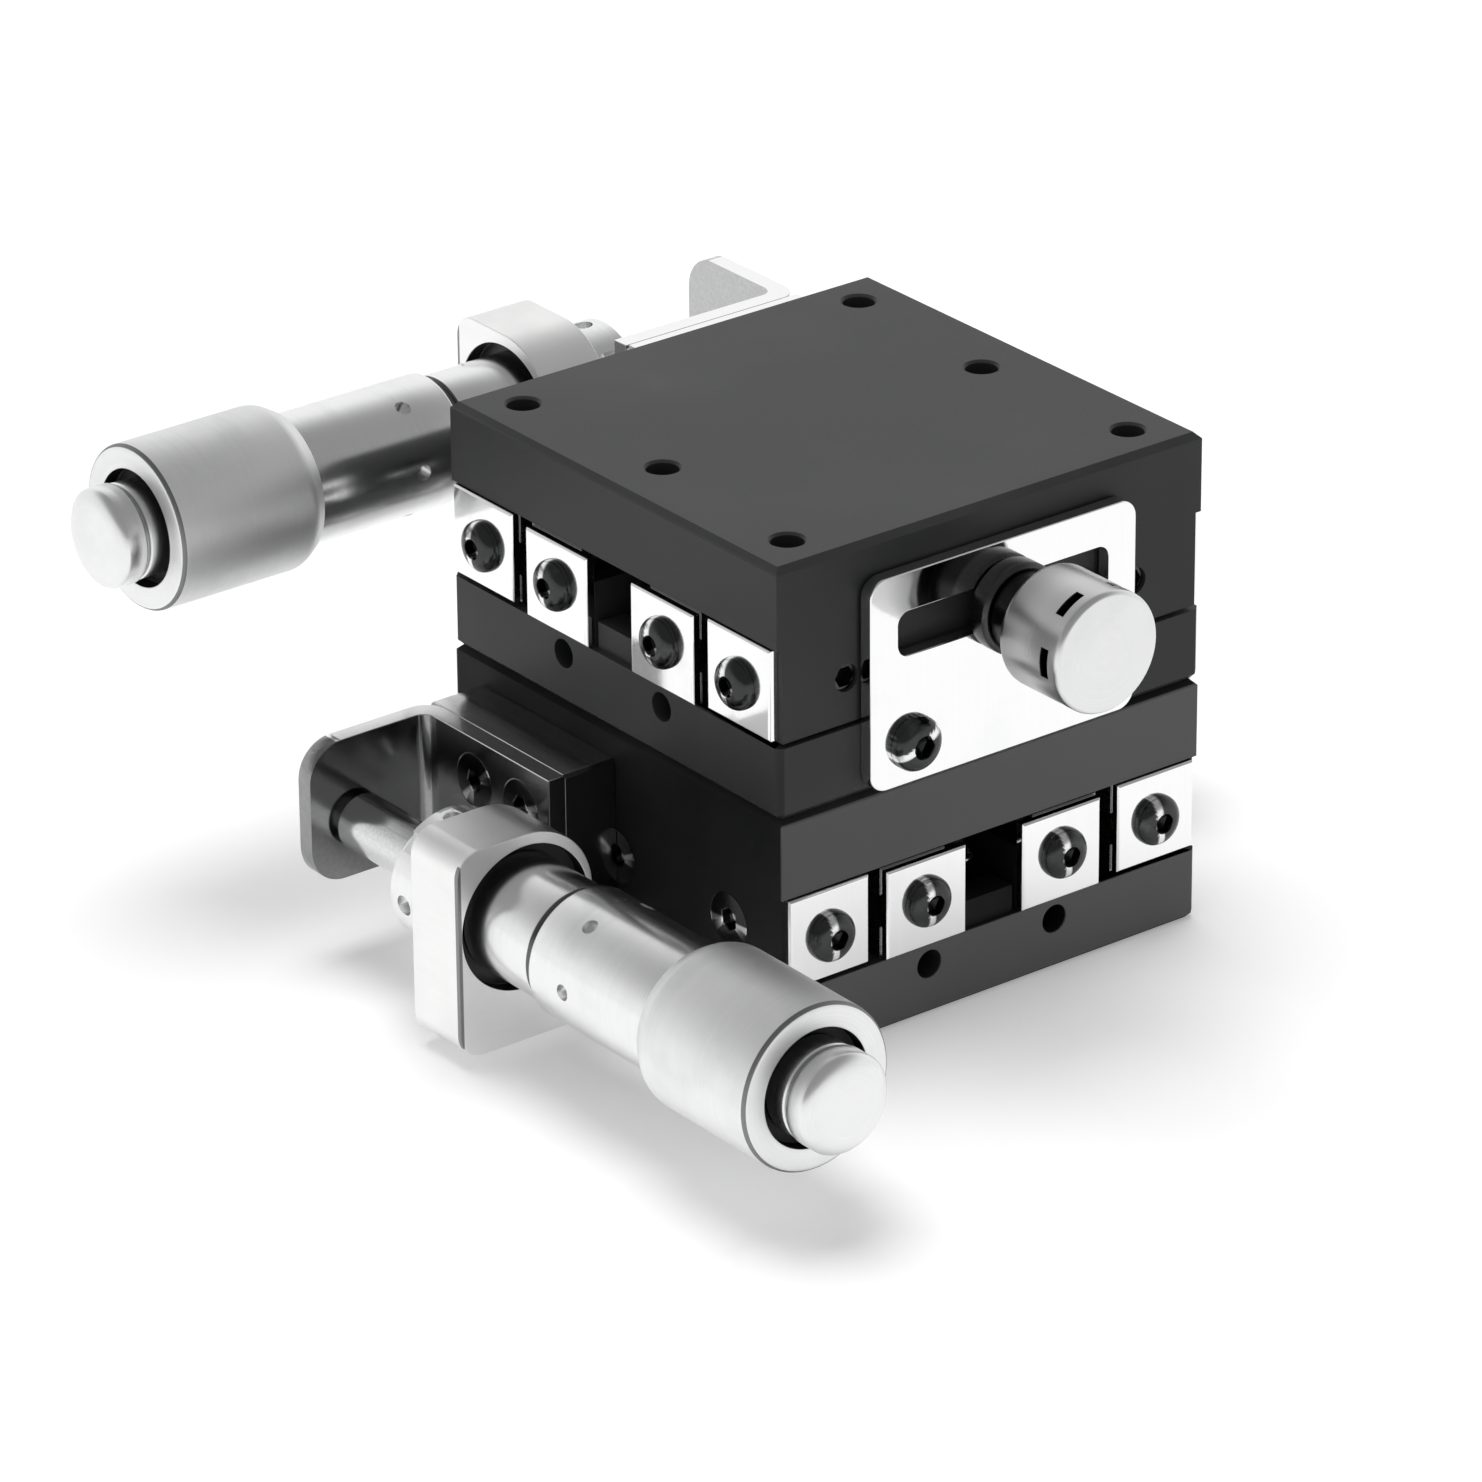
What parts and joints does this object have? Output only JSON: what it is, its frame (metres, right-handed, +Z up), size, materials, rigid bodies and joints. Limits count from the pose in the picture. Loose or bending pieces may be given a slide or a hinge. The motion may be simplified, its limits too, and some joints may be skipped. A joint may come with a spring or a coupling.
{
  "type": "linear translation stage",
  "caption": "Crossed-roller XY translation stage: stacked sliding tables on V-groove rails, each moved by a side micrometer and locked by a clamp knob.",
  "frame": {"origin": "middle of the lower base's underside", "axes": "+Z up, +X along the lower stage's travel and its micrometer's thimble, -Y along the upper stage's thimble"},
  "size_m": [0.0831, 0.077, 0.04],
  "materials": {
    "black_anodised": "fine black anodised, satin",
    "ground_steel": "hardened and ground",
    "hardened_steel": "hardened, ground and polished",
    "cage_brass": "stamped sheet",
    "black_screws": "black oxide, oiled",
    "polished_plate": "polished stainless steel",
    "bright_turned": "finely turned stainless steel",
    "polished_chrome": "bright chrome plate",
    "satin_chrome": "satin chrome plate",
    "satin_nickel": "satin nickel plate",
    "spring_steel": "drawn wire"
  },
  "bodies": {
    "lower_base": {"lower_base": "black_anodised", "lower_inner_rails": "ground_steel", "lower_inner_rail_screws": "black_screws", "lower_base_end_plates": "polished_plate", "lower_base_end_screws": "black_screws", "lower_clamp_plate": "polished_plate", "lower_clamp_plate_screws": "black_screws", "lower_micrometer_holder": "satin_nickel", "lower_holder_screws": "black_screws", "lower_lock_nut": "polished_chrome", "lower_micrometer_sleeve": "polished_chrome", "lower_return_spring": "spring_steel"},
    "lower_cages": {"lower_roller_cages": "cage_brass", "lower_rollers": "hardened_steel"},
    "lower_table": {"lower_table": "black_anodised", "lower_outer_rails": "ground_steel", "lower_outer_rail_screws": "black_screws", "lower_preload_screws": "black_screws", "lower_table_end_plates": "polished_plate", "lower_table_end_screws": "black_screws", "lower_anvil_spacer": "polished_plate", "lower_anvil_bracket": "polished_plate", "lower_anvil_screws": "black_screws", "lower_spring_pin": "hardened_steel", "lower_clamp_collar": "bright_turned", "upper_base": "black_anodised", "upper_inner_rails": "ground_steel", "upper_inner_rail_screws": "black_screws", "upper_base_end_plates": "polished_plate", "upper_base_end_screws": "black_screws", "upper_clamp_plate": "polished_plate", "upper_clamp_plate_screws": "black_screws", "upper_micrometer_holder": "satin_nickel", "upper_holder_screws": "black_screws", "upper_lock_nut": "polished_chrome", "upper_micrometer_sleeve": "polished_chrome", "upper_return_spring": "spring_steel", "stage_joining_screws": "black_screws"},
    "lower_thimble": {"lower_spindle": "hardened_steel", "lower_thimble": "satin_chrome"},
    "lower_ratchet": {"lower_ratchet_knob": "satin_chrome"},
    "lower_clamp_knob": {"lower_clamp_knob": "bright_turned"},
    "upper_cages": {"upper_roller_cages": "cage_brass", "upper_rollers": "hardened_steel"},
    "upper_table": {"upper_table": "black_anodised", "upper_outer_rails": "ground_steel", "upper_outer_rail_screws": "black_screws", "upper_preload_screws": "black_screws", "upper_table_end_plates": "polished_plate", "upper_table_end_screws": "black_screws", "upper_anvil_spacer": "polished_plate", "upper_anvil_bracket": "polished_plate", "upper_anvil_screws": "black_screws", "upper_spring_pin": "hardened_steel", "upper_clamp_collar": "bright_turned"},
    "upper_thimble": {"upper_spindle": "hardened_steel", "upper_thimble": "satin_chrome"},
    "upper_ratchet": {"upper_ratchet_knob": "satin_chrome"},
    "upper_clamp_knob": {"upper_clamp_knob": "bright_turned"}
  },
  "joints": [
    {"name": "lower_thimble_turn", "type": "hinge", "parent": "lower_table", "child": "lower_thimble", "pos_m": [0, -0.0325, 0.0108], "axis": [1, 0, 0], "range_deg": [-3600, 3600]},
    {"name": "lower_travel", "type": "slide", "parent": "lower_base", "child": "lower_table", "axis": [1, 0, 0], "range_m": [-0.005, 0.005], "deforming": ["lower_return_spring"]},
    {"name": "lower_cage_travel", "type": "slide", "parent": "lower_base", "child": "lower_cages", "axis": [1, 0, 0], "range_m": [-0.0025, 0.0025]},
    {"name": "lower_ratchet_turn", "type": "hinge", "parent": "lower_thimble", "child": "lower_ratchet", "pos_m": [0, -0.0325, 0.0108], "axis": [1, 0, 0], "continuous": true},
    {"name": "lower_clamp_turn", "type": "hinge", "parent": "lower_table", "child": "lower_clamp_knob", "pos_m": [0, 0.0295, 0.01245], "axis": [0, 1, 0], "range_deg": [-90, 360]},
    {"name": "upper_thimble_turn", "type": "hinge", "parent": "upper_table", "child": "upper_thimble", "pos_m": [-0.0325, 0, 0.0308], "axis": [0, -1, 0], "range_deg": [-3600, 3600]},
    {"name": "upper_travel", "type": "slide", "parent": "lower_table", "child": "upper_table", "axis": [0, -1, 0], "range_m": [-0.005, 0.005], "deforming": ["upper_return_spring"]},
    {"name": "upper_cage_travel", "type": "slide", "parent": "lower_table", "child": "upper_cages", "axis": [0, -1, 0], "range_m": [-0.0025, 0.0025]},
    {"name": "upper_ratchet_turn", "type": "hinge", "parent": "upper_thimble", "child": "upper_ratchet", "pos_m": [-0.0325, 0, 0.0308], "axis": [0, -1, 0], "continuous": true},
    {"name": "upper_clamp_turn", "type": "hinge", "parent": "upper_table", "child": "upper_clamp_knob", "pos_m": [0.0295, 0, 0.03245], "axis": [1, 0, 0], "range_deg": [-90, 360]}
  ],
  "couplings": [
    {"joint": "lower_thimble_turn", "follows": "lower_travel", "rad_per_m": 12566},
    {"joint": "lower_cage_travel", "follows": "lower_travel", "ratio": 0.5},
    {"joint": "upper_thimble_turn", "follows": "upper_travel", "rad_per_m": 12566},
    {"joint": "upper_cage_travel", "follows": "upper_travel", "ratio": 0.5}
  ]
}
